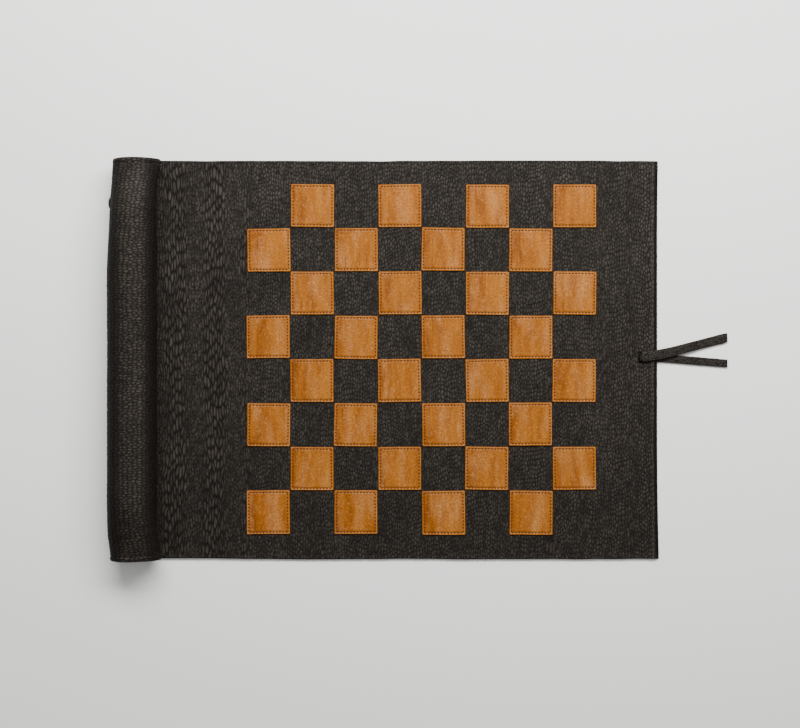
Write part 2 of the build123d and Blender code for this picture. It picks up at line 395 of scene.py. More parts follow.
def tex_voronoi(nt, src, xyz, feature="DISTANCE_TO_EDGE", rand=1.0):
    n = nnew(nt, "ShaderNodeTexVoronoi", feature=feature)
    n.inputs["Scale"].default_value = 1.0
    n.inputs["Randomness"].default_value = rand
    nt.links.new(scaled(nt, src, xyz), n.inputs["Vector"])
    return n.outputs["Distance"]


def mathn(nt, op, a, b=None, clamp=False):
    n = nnew(nt, "ShaderNodeMath", operation=op, use_clamp=clamp)
    for k, v in enumerate((a, b)):
        if v is None:
            continue
        if isinstance(v, (int, float)):
            n.inputs[k].default_value = v
        else:
            nt.links.new(v, n.inputs[k])
    return n.outputs[0]


def maprange(nt, v, a, b, c, d):
    n = nnew(nt, "ShaderNodeMapRange")
    for k, val in zip(("From Min", "From Max", "To Min", "To Max"), (a, b, c, d)):
        n.inputs[k].default_value = val
    nt.links.new(v, n.inputs["Value"])
    return n.outputs["Result"]


def ramp(nt, v, stops):
    n = nnew(nt, "ShaderNodeValToRGB")
    cr = n.color_ramp
    while len(cr.elements) < len(stops):
        cr.elements.new(0.5)
    for e, (p, c) in zip(cr.elements, stops):
        e.position = p
        e.color = (*c, 1)
    nt.links.new(v, n.inputs["Fac"])
    return n.outputs["Color"]


def mixc(nt, fac, a, b, mode="MIX"):
    n = nnew(nt, "ShaderNodeMix", data_type="RGBA", blend_type=mode)
    for sock, v in ((n.inputs[0], fac), (n.inputs[6], a), (n.inputs[7], b)):
        if isinstance(v, (int, float)):
            sock.default_value = v
        elif isinstance(v, tuple):
            sock.default_value = (*v, 1) if len(v) == 3 else v
        else:
            nt.links.new(v, sock)
    return n.outputs[2]


def bumpn(nt, height, strength, distance, normal=None):
    n = nnew(nt, "ShaderNodeBump")
    n.inputs["Strength"].default_value = strength
    n.inputs["Distance"].default_value = distance
    nt.links.new(height, n.inputs["Height"])
    if normal is not None:
        nt.links.new(normal, n.inputs["Normal"])
    return n.outputs[0]


def warp(nt, src, scale, amount):
    n = nnew(nt, "ShaderNodeTexNoise")
    n.inputs["Scale"].default_value = scale
    n.inputs["Detail"].default_value = 2.0
    nt.links.new(src, n.inputs["Vector"])
    s = nnew(nt, "ShaderNodeVectorMath", operation="SUBTRACT")
    s.inputs[1].default_value = (0.5, 0.5, 0.5)
    nt.links.new(n.outputs["Color"], s.inputs[0])
    m = nnew(nt, "ShaderNodeVectorMath", operation="SCALE")
    m.inputs[3].default_value = amount
    nt.links.new(s.outputs[0], m.inputs[0])
    a = nnew(nt, "ShaderNodeVectorMath", operation="ADD")
    nt.links.new(src, a.inputs[0])
    nt.links.new(m.outputs[0], a.inputs[1])
    return a.outputs[0]


def black_leather(name, mode, grain=(0.55, 0.42, 0.5), dark=(0.0028, 0.0022, 0.0018), mid=(0.0150, 0.0122, 0.0098),
                  light=(0.052, 0.0435, 0.0360), bump=0.00016, rough=(0.46, 0.68), spec=0.20, carried=False):
    m, nt, b = nodes_of(name)
    co = coords(nt, mode)
    wco = warp(nt, co, 0.22, 1.6)
    edge = tex_voronoi(nt, wco, grain)
    dome = maprange(nt, edge, 0.0, 0.26, 0.0, 1.0)
    micro = tex_noise(nt, co, (1.6, 1.6, 1.6), 4.0, 0.6)
    broad = tex_noise(nt, co, (0.018, 0.011, 0.018), 3.0, 0.55)
    if carried:
        sep = nnew(nt, "ShaderNodeSeparateXYZ")
        nt.links.new(co, sep.inputs[0])
        flat = nnew(nt, "ShaderNodeCombineXYZ")
        nt.links.new(sep.outputs[0], flat.inputs[0])
        nt.links.new(sep.outputs[1], flat.inputs[1])
        micro = tex_noise(nt, flat.outputs[0], (1.5, 0.9, 1.0), 4.0, 0.6)
        edge = tex_voronoi(nt, warp(nt, flat.outputs[0], 0.3, 1.0), (0.95, 0.8, 0.9))
        dome = maprange(nt, edge, 0.0, 0.26, 0.0, 1.0)
        broad = tex_noise(nt, flat.outputs[0], (0.018, 0.011, 0.018), 3.0, 0.55)
        tone = mathn(nt, "ADD", mathn(nt, "MULTIPLY", sep.outputs[2], 0.82), mathn(nt, "MULTIPLY", dome, 0.14))
    else:
        tone = dome
    tone = mathn(nt, "MULTIPLY", tone, maprange(nt, broad, 0.3, 0.7, 0.92, 1.06))
    tone = mathn(nt, "ADD", mathn(nt, "MULTIPLY", tone, 0.9), maprange(nt, micro, 0.3, 0.7, -0.08, 0.12), clamp=True)
    # tone runs from the grain's valleys to its crests, so this ramp paints shade into the valleys and highlight onto
    # the crests
    col = ramp(nt, tone, [(0.0, dark), (0.5, mid), (1.0, light)])
    nt.links.new(col, b.inputs["Base Color"])
    nt.links.new(maprange(nt, tone, 0.0, 1.0, rough[1], rough[0]), b.inputs["Roughness"])
    nt.links.new(maprange(nt, tone, 0.0, 1.0, spec * 0.25, spec), b.inputs["Specular IOR Level"])
    h = mathn(nt, "ADD", dome, mathn(nt, "MULTIPLY", micro, 0.35))
    nt.links.new(bumpn(nt, h, 0.75, bump), b.inputs["Normal"])
    return m


def plain_leather(name, mode, base, var, bump=0.00008, rough=0.6, spec=0.3, cell=(1.1, 1.1, 1.1)):
    m, nt, b = nodes_of(name)
    co = coords(nt, mode)
    fine = tex_noise(nt, co, cell, 4.0, 0.6)
    broad = tex_noise(nt, co, (0.05, 0.03, 0.05), 3.0, 0.55)
    col = mixc(nt, maprange(nt, broad, 0.3, 0.7, 0.0, 1.0), base, var)
    col = mixc(nt, maprange(nt, fine, 0.35, 0.7, 0.0, 0.45), col, tuple(c * 0.55 for c in base))
    nt.links.new(col, b.inputs["Base Color"])
    nt.links.new(maprange(nt, fine, 0.3, 0.7, rough - 0.08, rough + 0.1), b.inputs["Roughness"])
    b.inputs["Specular IOR Level"].default_value = spec
    nt.links.new(bumpn(nt, fine, 0.7, bump), b.inputs["Normal"])
    return m


def tan_leather(name):
    """Burnished vegetable-tan patch: warm streaks down the hide, painted shade towards each patch's left side, painted
    sheen highlights, a paler rim, dark cut edge.
    rest.z carries the distance in from the patch's edge, in mm."""
    m, nt, b = nodes_of(name)
    co = coords(nt, "rest")
    sep = nnew(nt, "ShaderNodeSeparateXYZ")
    nt.links.new(co, sep.inputs[0])
    flat = nnew(nt, "ShaderNodeCombineXYZ")
    nt.links.new(sep.outputs[0], flat.inputs[0])
    nt.links.new(sep.outputs[1], flat.inputs[1])
    co2 = flat.outputs[0]
    wco = warp(nt, co2, 0.05, 7.0)
    streak = tex_noise(nt, wco, (0.14, 0.024, 0.1), 4.0, 0.6)
    fine = tex_noise(nt, co2, (0.75, 0.6, 0.9), 5.0, 0.65)
    pores = tex_voronoi(nt, co2, (0.8, 0.7, 0.8), "F1")
    sheen = tex_noise(nt, wco, (0.075, 0.020, 0.06), 3.0, 0.55)
    # each patch is darker towards its left side: painted shade
    cell = nnew(nt, "ShaderNodeMath", operation="ADD")
    nt.links.new(sep.outputs[0], cell.inputs[0])
    cell.inputs[1].default_value = 152.0
    across = mathn(nt, "FRACT", mathn(nt, "DIVIDE", cell.outputs[0], 38.0))
    streaks_and_side_shade = mathn(nt, "ADD", streak, maprange(nt, across, 0.0, 0.7, -0.11, 0.05))
    base = ramp(nt, maprange(nt, streaks_and_side_shade, 0.28, 0.66, 0.0, 1.0),
                [(0.0, (0.160, 0.042, 0.0012)), (0.42, (0.265, 0.080, 0.0035)), (1.0, (0.36, 0.126, 0.012))])
    lit = mathn(nt, "MULTIPLY", maprange(nt, sheen, 0.47, 0.66, 0.0, 1.0), maprange(nt, pores, 0.25, 0.8, 0.55, 1.15))
    base = mixc(nt, mathn(nt, "MULTIPLY", lit, 0.52, clamp=True), base, (0.50, 0.235, 0.082))
    base = mixc(nt, maprange(nt, fine, 0.42, 0.62, 0.0, 0.55), base, (0.155, 0.040, 0.0012))
    base = mixc(nt, maprange(nt, pores, 0.60, 0.95, 0.0, 0.35), base, (0.52, 0.225, 0.055))
    edge = sep.outputs[2]
    rim = mathn(nt, "SUBTRACT", maprange(nt, edge, 0.4, 0.9, 0.0, 1.0), maprange(nt, edge, 1.3, 2.0, 0.0, 1.0))
    base = mixc(nt, mathn(nt, "MULTIPLY", rim, 0.45), base, (0.42, 0.155, 0.022))
    inner = mathn(nt, "SUBTRACT", maprange(nt, edge, 1.6, 2.1, 0.0, 1.0), maprange(nt, edge, 2.5, 5.0, 0.0, 1.0))
    base = mixc(nt, mathn(nt, "MULTIPLY", inner, 0.30), base, (0.22, 0.062, 0.003))
    cut = maprange(nt, edge, 0.10, 0.55, 1.0, 0.0)
    base = mixc(nt, cut, base, (0.09, 0.026, 0.005))
    nt.links.new(base, b.inputs["Base Color"])
    nt.links.new(maprange(nt, fine, 0.3, 0.75, 0.40, 0.60), b.inputs["Roughness"])
    b.inputs["Specular IOR Level"].default_value = 0.14
    h = mathn(nt, "ADD", mathn(nt, "MULTIPLY", fine, 0.8), mathn(nt, "MULTIPLY", pores, 0.5))
    nt.links.new(bumpn(nt, h, 0.7, 0.00020), b.inputs["Normal"])
    return m


def thread(name, base, mode="rest"):
    m, nt, b = nodes_of(name)
    co = coords(nt, mode)
    ply = nnew(nt, "ShaderNodeTexWave", wave_type="BANDS", bands_direction="DIAGONAL")
    ply.inputs["Scale"].default_value = 1.1
    ply.inputs["Distortion"].default_value = 0.6
    nt.links.new(co, ply.inputs["Vector"])
    n = tex_noise(nt, co, (0.7, 0.7, 0.7), 2.0)
    col = mixc(nt, ply.outputs["Fac"], tuple(c * 0.6 for c in base), base)
    col = mixc(nt, maprange(nt, n, 0.3, 0.7, 0.0, 0.4), col, tuple(min(1, c * 1.5) for c in base))
    nt.links.new(col, b.inputs["Base Color"])
    b.inputs["Roughness"].default_value = 0.7
    b.inputs["Specular IOR Level"].default_value = 0.25
    nt.links.new(bumpn(nt, ply.outputs["Fac"], 0.6, 0.00008), b.inputs["Normal"])
    return m


def metal_black(name):
    m, nt, b = nodes_of(name)
    co = coords(nt, "object")
    n = tex_noise(nt, co, (0.9, 0.9, 0.9), 4.0)
    w = tex_noise(nt, co, (0.25, 0.25, 0.25), 3.0)
    nt.links.new(mixc(nt, maprange(nt, w, 0.45, 0.75, 0.0, 0.5), (0.004, 0.004, 0.0045), (0.014, 0.013, 0.0125)), b.inputs["Base Color"])
    nt.links.new(maprange(nt, n, 0.3, 0.7, 0.28, 0.46), b.inputs["Roughness"])
    b.inputs["Metallic"].default_value = 0.15
    b.inputs["Specular IOR Level"].default_value = 0.25
    nt.links.new(bumpn(nt, n, 0.4, 0.00003), b.inputs["Normal"])
    return m


def tape_cloth(name):
    m, nt, b = nodes_of(name)
    co = coords(nt, "object")
    w1 = nnew(nt, "ShaderNodeTexWave", wave_type="BANDS", bands_direction="Y")
    w1.inputs["Scale"].default_value = 0.55
    w2 = nnew(nt, "ShaderNodeTexWave", wave_type="BANDS", bands_direction="Z")
    w2.inputs["Scale"].default_value = 0.55
    nt.links.new(co, w1.inputs["Vector"])
    nt.links.new(co, w2.inputs["Vector"])
    h = mathn(nt, "MULTIPLY", w1.outputs["Fac"], w2.outputs["Fac"])
    nt.links.new(mixc(nt, h, (0.0045, 0.0042, 0.0040), (0.016, 0.015, 0.014)), b.inputs["Base Color"])
    b.inputs["Roughness"].default_value = 0.9
    b.inputs["Specular IOR Level"].default_value = 0.12
    nt.links.new(bumpn(nt, h, 0.8, 0.0001), b.inputs["Normal"])
    return m


def nylon(name):
    m, nt, b = nodes_of(name)
    co = coords(nt, "object")
    n = tex_noise(nt, co, (1.2, 1.2, 1.2), 3.0)
    nt.links.new(mixc(nt, maprange(nt, n, 0.3, 0.7, 0.0, 1.0), (0.006, 0.0058, 0.0056), (0.018, 0.0175, 0.017)), b.inputs["Base Color"])
    b.inputs["Roughness"].default_value = 0.5
    b.inputs["Specular IOR Level"].default_value = 0.22
    nt.links.new(bumpn(nt, n, 0.3, 0.00003), b.inputs["Normal"])
    return m


def wood(name, a, c):
    m, nt, b = nodes_of(name)
    co = coords(nt, "object")
    wco = warp(nt, co, 0.06, 3.0)
    g = tex_noise(nt, wco, (0.9, 0.08, 0.5), 4.0, 0.6)
    ring = nnew(nt, "ShaderNodeTexWave", wave_type="BANDS", bands_direction="X")
    ring.inputs["Scale"].default_value = 0.12
    ring.inputs["Distortion"].default_value = 4.0
    nt.links.new(wco, ring.inputs["Vector"])
    col = mixc(nt, maprange(nt, g, 0.3, 0.7, 0.0, 1.0), a, c)
    col = mixc(nt, mathn(nt, "MULTIPLY", ring.outputs["Fac"], 0.35), col, tuple(x * 0.5 for x in a))
    nt.links.new(col, b.inputs["Base Color"])
    nt.links.new(maprange(nt, g, 0.3, 0.7, 0.32, 0.48), b.inputs["Roughness"])
    nt.links.new(bumpn(nt, g, 0.3, 0.00008), b.inputs["Normal"])
    return m


M_FACE = black_leather("face_leather", "rest", carried=True)
M_TUBE = black_leather("pouch_leather", "rest", carried=True, bump=0.00020, rough=(0.42, 0.66))
M_GUSSET = black_leather("gusset_leather", "object", grain=(0.5, 0.5, 0.5))
M_BACK = plain_leather("lining_leather", "rest", (0.020, 0.017, 0.015), (0.030, 0.026, 0.023), rough=0.75)
M_EDGE = plain_leather("edge_paint", "rest", (0.006, 0.0055, 0.005), (0.010, 0.009, 0.008), rough=0.45, spec=0.45)
M_THONG = black_leather("thong_leather", "rest", grain=(0.62, 0.62, 0.62), bump=0.00014, light=(0.040, 0.0335, 0.028), mid=(0.017, 0.0140, 0.0115))
# the fold gets a darker copy of the thong leather: painted shade where the strap dips into the slit
M_FOLD_SHADED = black_leather("fold_leather_shaded", "object", grain=(0.25, 0.7, 0.5), bump=0.00010, light=(0.026, 0.022, 0.018), mid=(0.011, 0.009, 0.0075))
M_TAN = tan_leather("tan_leather")
M_TSTITCH = thread("tan_thread", (0.085, 0.023, 0.0018))
M_BSTITCH = thread("black_thread", (0.008, 0.007, 0.006))
M_METAL = metal_black("black_metal")
M_TAPE = tape_cloth("zip_tape_cloth")
M_NYLON = nylon("zip_nylon")
M_MLIGHT = wood("light_wood", (0.60, 0.38, 0.19), (0.70, 0.50, 0.29))
M_MDARK = wood("dark_wood", (0.060, 0.024, 0.012), (0.11, 0.045, 0.022))

# ------------------------------------------------------------------ thong (free ends first)
TOP_Z, LOW_Z = 4.45, 0.95
UPPER = [(192.1, 1.6, TOP_Z), (209.0, 4.1, TOP_Z), (228.0, 8.9, 3.0), (247.0, 13.9, LOW_Z), (266.3, 18.65, LOW_Z)]
LOWER = [(192.1, 1.5, LOW_Z), (210.0, 0.55, LOW_Z), (229.0, -0.9, LOW_Z), (247.5, -2.4, LOW_Z), (266.3, -3.9, LOW_Z)]


def nurbs_line(name, pts):
    cu = bpy.data.curves.new(name, "CURVE")
    cu.dimensions = "3D"
    cu.resolution_u = 24
    sp = cu.splines.new("NURBS")
    sp.points.add(len(pts) - 1)
    for p, c in zip(sp.points, pts):
        p.co = ((c[0] + SX) * MM, c[1] * MM, c[2] * MM, 1)
    sp.order_u = 3
    sp.use_endpoint_u = True
    ob = bpy.data.objects.new(name, cu)
    bpy.context.scene.collection.objects.link(ob)
    bpy.context.view_layer.update()
    me = bpy.data.meshes.new_from_object(ob)
    co = np.array([v.co for v in me.vertices], float)
    bpy.data.objects.remove(ob)
    bpy.data.meshes.remove(me)
    return co / MM


def strap(name, pts, width, thick, seed, material):
    """A flat pebbled strap along the route: rounded edges and uneven cut."""
    line = nurbs_line(name + "_route", pts)
    seg = np.linalg.norm(np.diff(line, axis=0), axis=1)
    s = np.concatenate([[0], np.cumsum(seg)])
    total = s[-1]
    n = int(total / 0.45)
    u = np.linspace(0, total, n)
    P = np.stack([np.interp(u, s, line[:, k]) for k in range(3)], 1)
    T = np.gradient(P, axis=0)
    T /= np.linalg.norm(T, axis=1)[:, None]
    side = np.stack([-T[:, 1], T[:, 0], 0 * T[:, 0]], 1)
    side /= np.linalg.norm(side, axis=1)[:, None]
    up = np.cross(T, side)
    up *= np.sign(up[:, 2:3])
    m = 28
    ang = np.linspace(0, 2 * np.pi, m, endpoint=False)
    # superellipse section, wide and flat
    cs, sn = np.cos(ang), np.sin(ang)
    ex, ez = np.sign(cs) * np.abs(cs) ** 0.28, np.sign(sn) * np.abs(sn) ** 0.55
    verts, rest = [], []
    for k in range(n):
        w = width / 2 * (1 + 0.035 * vnoise(u[k] / 7.0, 0.3, seed) * 2)
        g1, g2 = worley(np.full(m, u[k] / 1.5) + 0.4 * vnoise(u[k] / 3.0, ex * 2, seed + 5), ex * width / 2 / 1.5 + 0.2 * np.sign(sn), seed + 3)
        grain = 0.16 * (np.clip((g2 - g1) / 0.45, 0, 1) - 0.5) * (np.abs(sn) > 0.2)
        lift_ = 0.10 * vnoise(u[k] / 6.0, ex * 1.3, seed + 9)
        c = P[k] + side[k] * (ex * w)[:, None] + up[k] * ((ez * (thick / 2 - 0.08) + grain * np.sign(ez) + 0 * lift_))[:, None]
        verts.append(c)
        rest.append(np.stack([np.full(m, u[k]), ex * w, ez * thick / 2], 1))
    verts = np.concatenate(verts)
    rest = np.concatenate(rest)
    # the far end is cut square to the mat
    a = (np.arange(n - 1)[:, None] * m + np.arange(m)[None, :]).ravel()
    bb = (np.arange(n - 1)[:, None] * m + (np.arange(m)[None, :] + 1) % m).ravel()
    quads = np.stack([a, a + m, bb + m, bb], 1)
    tris = []
    c0, c1 = len(verts), len(verts) + 1
    verts = np.concatenate([verts, [P[0], P[-1]]])
    rest = np.concatenate([rest, [[0, 0, 0], [u[-1], 0, 0]]])
    for k in range(m):
        tris.append((c0, k, (k + 1) % m))
        tris.append((c1, (n - 1) * m + (k + 1) % m, (n - 1) * m + k))
    end_x = pts[-1][0] + SX
    far = slice((n - 6) * m, len(verts))
    # shear the last few rings so the cut runs parallel to the mat's edge
    v = verts[far]
    kk = np.clip((v[:, 0] - (end_x - 3.5)) / 3.5, 0, 1)
    centre_y = P[-1][1]
    slope = T[-1][1] / T[-1][0]
    v[:, 0] += kk * (v[:, 1] - centre_y) * slope
    v[:, 0] = np.minimum(v[:, 0], end_x)
    verts[far] = v
    me = new_mesh(name, verts, quads, None, rest, True, tris)
    ob = add(name, me, material)
    return ob, P, total


upper, UP_PATH, UP_LEN = strap("thong_upper_strap", UPPER, 8.3, 1.7, 61, M_THONG)
lower, LO_PATH, LO_LEN = strap("thong_lower_strap", LOWER, 7.0, 1.7, 62, M_THONG)
for ob, node, path, length, width in ((upper, "thong_upper", UP_PATH, UP_LEN, 8.3), (lower, "thong_lower", LO_PATH, LO_LEN, 7.0)):
    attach(ob, "strip_23")
    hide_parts(node)

# ------------------------------------------------------------------ intervals between strip centres
EDGES = BENDS + [RIGHT]
CENTRES = [(EDGES[i] + EDGES[i + 1]) / 2 for i in range(23)]
CUTS = [BENDS[0] - 4.5] + CENTRES + [RIGHT]


def interval_bodies(k):
    """Interval k runs from CUTS[k] to CUTS[k+1] and crosses bend k (if there is one)."""
    if k == 0:
        return "pouch", STRIP[0], CUTS[0], CUTS[1]
    if k < 23:
        return STRIP[k - 1], STRIP[k], CUTS[k], CUTS[k + 1]
    return STRIP[22], None, CUTS[23], CUTS[24]


def settle(ob, k):
    a, b, x0, x1 = interval_bodies(k)
    if b is None:
        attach(ob, a)
    else:
        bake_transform(ob)
    return ob


def spaced(a, b, step):
    return np.linspace(a, b, max(2, int(round((b - a) / step)) + 1))


ys_fine = np.unique(np.concatenate([spaced(-HALF_W, -HALF_W + 4, 0.5), spaced(-HALF_W + 4, HALF_W - 4, 1.0), spaced(HALF_W - 4, HALF_W, 0.5)]))
ys_slit = np.unique(np.concatenate([ys_fine, spaced(-6, 10, 0.35)]))
ys_back = spaced(-HALF_W + 0.35, HALF_W - 0.35, 6.0)
for k in range(24):
    a, b = CUTS[k] - SX, CUTS[k + 1] - SX
    step = 0.55 if k < 22 else 0.4
    xs = spaced(a, b, step)
    face = slab_piece(f"face_leather_{k + 1:02d}", xs, ys_slit if k >= 22 else ys_fine, face_top, face_bottom, M_FACE, k == 0, k == 23, leather_tone_and_painted_light)
    settle(face, k)
    if k > 0:
        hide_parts(f"mat_{k:02d}")
    xs = spaced(a, b - (0.35 if k == 23 else 0), 2.0)
    back = slab_piece(f"lining_{k + 1:02d}", xs, ys_back,
                      lambda x, y: 0.93 + lift(x, y) * 1.25, lambda x, y: 0.02 + lift(x, y) * 2.2, M_BACK, k == 0, k == 23)
    settle(back, k)

# ------------------------------------------------------------------ light patches
def patch_outline(c, r):
    """Corner wander of each hand-cut patch, mm."""
    h = lambda s: float(hash2(np.array(c * 7 + s), np.array(r * 13 + 2 * s), 77)) - 0.5
    return [h(i) for i in range(8)]


def patch_grid(c, r, xs):
    """Y positions of the patch's grid rows, in board mm."""
    x0, x1 = -152 + c * SQUARE, -152 + (c + 1) * SQUARE
    yc = 152 - (r + 0.5) * SQUARE
    o = patch_outline(c, r)
    ys = yc + np.concatenate([[-1.0], -1 + (1 - np.cos(np.linspace(0, np.pi / 2, 5)[1:])) * 0.05, np.linspace(-0.945, 0.945, 58), 1 - (1 - np.cos(np.linspace(np.pi / 2, 0, 5)[:-1])) * 0.05, [1.0]]) * (SQUARE / 2)
    return ys


def patch_surface(c, r, X, Y):
    x0, x1 = -152 + c * SQUARE, -152 + (c + 1) * SQUARE
    yc = 152 - (r + 0.5) * SQUARE
    o = patch_outline(c, r)
    u, v = (X - x0) / SQUARE, (Y - (yc - SQUARE / 2)) / SQUARE
    wob = lambda t, s: 0.16 * vnoise(t * 5 + s * 3.3 + c * 1.9, r * 2.7 + s + 0 * t, 81)
    h2 = lambda q: float(hash2(np.array(c * 5 + q), np.array(r * 11 + q), 177)) - 0.5
    ox, oy, turn = 0.85 * h2(1), 0.85 * h2(2), 1.0 * h2(3)
    left = 0.06 + ox + turn * (v - 0.5) + 0.3 * o[0] * (1 - v) + 0.3 * o[1] * v + wob(v, 1)
    right = 0.06 - ox - turn * (v - 0.5) + 0.3 * o[2] * (1 - v) + 0.3 * o[3] * v + wob(v, 2)
    bot = 0.06 + oy - turn * (u - 0.5) + 0.3 * o[4] * (1 - u) + 0.3 * o[5] * u + wob(u, 3)
    top = 0.06 - oy + turn * (u - 0.5) + 0.3 * o[6] * (1 - u) + 0.3 * o[7] * u + wob(u, 4)
    dl, dr = (X - x0) - left, (x1 - X) - right
    db, dt = (Y - (yc - SQUARE / 2)) - bot, (yc + SQUARE / 2 - Y) - top
    # rounded corners
    d = np.minimum(np.minimum(dl, dr), np.minimum(db, dt))
    rc = 1.1
    cxd, cyd = np.minimum(dl, dr), np.minimum(db, dt)
    corner = (cxd < rc) & (cyd < rc)
    d = np.where(corner, rc - np.hypot(rc - cxd, rc - cyd), d)
    sag = 0.30 * fbm(X / 9.5 + c * 3.1, Y / 50.0 + r * 5.3, 91, 2) + 0.07 * fbm(X / 2.6, Y / 9.0, 92, 2)
    z = TAN_TOP - 0.34 + sag
    z = z - 0.42 * np.exp(-((d - 2.05) / 0.62) ** 2) + 0.12 * np.exp(-((d - 1.0) / 0.5) ** 2)
    z = z + 0.10 * np.exp(-((d - 3.6) / 1.4) ** 2)
    z = z - 1.25 * edge_round(np.clip(d, 0, 0.9), 0.9)
    z = np.where(d < 0, MAT_T - 1.0, z)
    return z, d


NEAR = np.concatenate([np.arange(-1.2, 1.25, 0.16), [1.5, 1.8, 2.1, 2.4, 2.75, 3.2]])


def patch_piece(name, c, xs, rows):
    verts, quads, rest = [], [], []
    off = 0
    for r in rows:
        yc = 152 - (r + 0.5) * SQUARE
        h = SQUARE / 2
        near = NEAR
        ys = np.concatenate([yc - h + near, spaced(yc - h + 3.9, yc + h - 3.9, 0.62), yc + h - near[::-1]])
        X, Y = np.meshgrid(xs, ys, indexing="ij")
        Z, D = patch_surface(c, r, X, Y)
        nx, ny = len(xs), len(ys)
        n = nx * ny
        top = np.stack([X + SX, Y, Z], -1).reshape(-1, 3)
        low = np.stack([X + SX, Y, np.full_like(Z, MAT_T - 1.1)], -1).reshape(-1, 3)
        verts += [top, low]
        rr = np.stack([X, Y, D], -1).reshape(-1, 3)
        rest += [rr, rr]
        quads += [grid_faces(nx, ny, off), grid_faces(nx, ny, off + n, True)]
        idx = np.arange(n).reshape(nx, ny) + off
        for line, flip in ((idx[:, 0], False), (idx[:, -1], True), (idx[0, :], True), (idx[-1, :], False)):
            q = np.stack([line[:-1], line[:-1] + n, line[1:] + n, line[1:]], 1)
            quads.append(q[:, ::-1] if flip else q)
        off += 2 * n
    me = new_mesh(name, np.concatenate(verts), np.concatenate(quads), None, np.concatenate(rest))
    return add(name, me, M_TAN)


def col_x(lo, hi, c):
    x0, x1 = -152 + c * SQUARE, -152 + (c + 1) * SQUARE
    near = NEAR
    full = np.concatenate([x0 + near, spaced(x0 + 3.9, x1 - 3.9, 0.62), x1 - near[::-1]])
    inside = full[(full > lo + 0.05) & (full < hi - 0.05)]
    return np.concatenate([[lo], inside, [hi]])


# a patch column crosses three intervals: half of one, a whole one, half of one
replaced_tan = set()
for c in range(8):
    rows = [r for r in range(8) if (r + c) % 2]
    x0, x1 = -152 + c * SQUARE, -152 + (c + 1) * SQUARE
    for k in range(24):
        lo, hi = max(x0 - 1.2, CUTS[k] - SX), min(x1 + 1.2, CUTS[k + 1] - SX)
        if hi - lo < 0.5:
            continue
        piece = patch_piece(f"light_patches_{c + 1}_{k + 1:02d}", c, col_x(lo, hi, c), rows)
        settle(piece, k)
        for half in "ab":
            nd = f"light_square_{c + 1}{half}"
            if nd not in replaced_tan:
                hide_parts(nd)
                replaced_tan.add(nd)
                break


# ------------------------------------------------------------------ stitches
def capsule(length, width, height, seg=8, rings=6):
    """A thread loop lying along +X, sunk at both ends."""
    t = np.linspace(-1, 1, rings)
    ang = np.linspace(0, 2 * np.pi, seg, endpoint=False)
    v = []
    for a in t:
        r = math.sqrt(max(0.0, 1 - abs(a) ** 3.2)) * 0.92 + 0.08
        bow = height * (0.35 - 0.75 * a * a)
        for g in ang:
            v.append((a * length / 2, math.cos(g) * width / 2 * r, math.sin(g) * height / 2 * r + bow))
    q = []
    for i in range(rings - 1):
        for j in range(seg):
            q.append((i * seg + j, (i + 1) * seg + j, (i + 1) * seg + (j + 1) % seg, i * seg + (j + 1) % seg))
    q.append(tuple(range(0, 4)))
    return np.array(v), np.array(q[:-1])


CAP_V, CAP_Q = capsule(1.80, 1.45, 0.62)


def stitch_mesh(name, places, material, squash=1.0):
    """places: rows of (x, y, z, angle) in CAD mm."""
    places = np.asarray(places, float)
    n = len(places)
    jit = np.random.default_rng(5 + n).normal(0, 1, (n, 4))
    ang = places[:, 3] + 0.06 * jit[:, 0]
    ca, sa = np.cos(ang), np.sin(ang)
    L = 1 + 0.07 * jit[:, 1]
    V = np.repeat(CAP_V[None], n, 0)
    x = V[..., 0] * L[:, None]
    y = V[..., 1]
    X = places[:, 0:1] + x * ca[:, None] - y * sa[:, None]
    Y = places[:, 1:2] + x * sa[:, None] + y * ca[:, None]
    Z = places[:, 2:3] + V[..., 2] * squash + 0.02 * jit[:, 2:3]
    verts = np.stack([X, Y, Z], -1).reshape(-1, 3)
    m = len(CAP_V)
    quads = (CAP_Q[None] + (np.arange(n) * m)[:, None, None]).reshape(-1, 4)
    seg = 8
    tris = []
    for k in range(n):
        b0 = k * m
        for j in range(1, seg - 1):
            tris.append((b0, b0 + j + 1, b0 + j))
            e0 = b0 + m - seg
            tris.append((e0, e0 + j, e0 + j + 1))
    me = new_mesh(name, verts, quads, None, verts - np.array([SX, 0, 0]), True, tris)
    return add(name, me, material)


def by_interval(places):
    out = {}
    for p in places:
        k = int(np.clip(np.searchsorted(CUTS, p[0], side="right") - 1, 0, 23))
        out.setdefault(k, []).append(p)
    return out


tan_places = []
INSET = 1.95
for c in range(8):
    for r in range(8):
        if (r + c) % 2 == 0:
            continue
        x0, x1 = -152 + c * SQUARE, -152 + (c + 1) * SQUARE
        yc = 152 - (r + 0.5) * SQUARE
        y0, y1 = yc - SQUARE / 2, yc + SQUARE / 2
        probe = np.linspace(-1.5, 5.0, 66)

        def inset_at(fx, fy):
            """How far in from the nominal line the stitch row lies at one place."""
            _, d = patch_surface(c, r, fx(probe), fy(probe))
            return float(np.interp(INSET, d, probe))

        n = 12
        for k in range(n):
            t = (k + 0.5) / n
            px, py = x0 + INSET + t * (SQUARE - 2 * INSET), y0 + INSET + t * (SQUARE - 2 * INSET)
            spots = [(px, y0 + inset_at(lambda p: px + 0 * p, lambda p: y0 + p), 0.0),
                     (px, y1 - inset_at(lambda p: px + 0 * p, lambda p: y1 - p), 0.0),
                     (x0 + inset_at(lambda p: x0 + p, lambda p: py + 0 * p), py, math.pi / 2),
                     (x1 - inset_at(lambda p: x1 - p, lambda p: py + 0 * p), py, math.pi / 2)]
            for qx, qy, an in spots:
                z, _ = patch_surface(c, r, np.array([qx]), np.array([qy]))
                tan_places.append((qx + SX, qy, float(z[0]) + 0.06, an))
for k, pl in by_interval(tan_places).items():
    ob = stitch_mesh(f"patch_stitches_{k + 1:02d}", pl, M_TSTITCH)
    settle(ob, k)

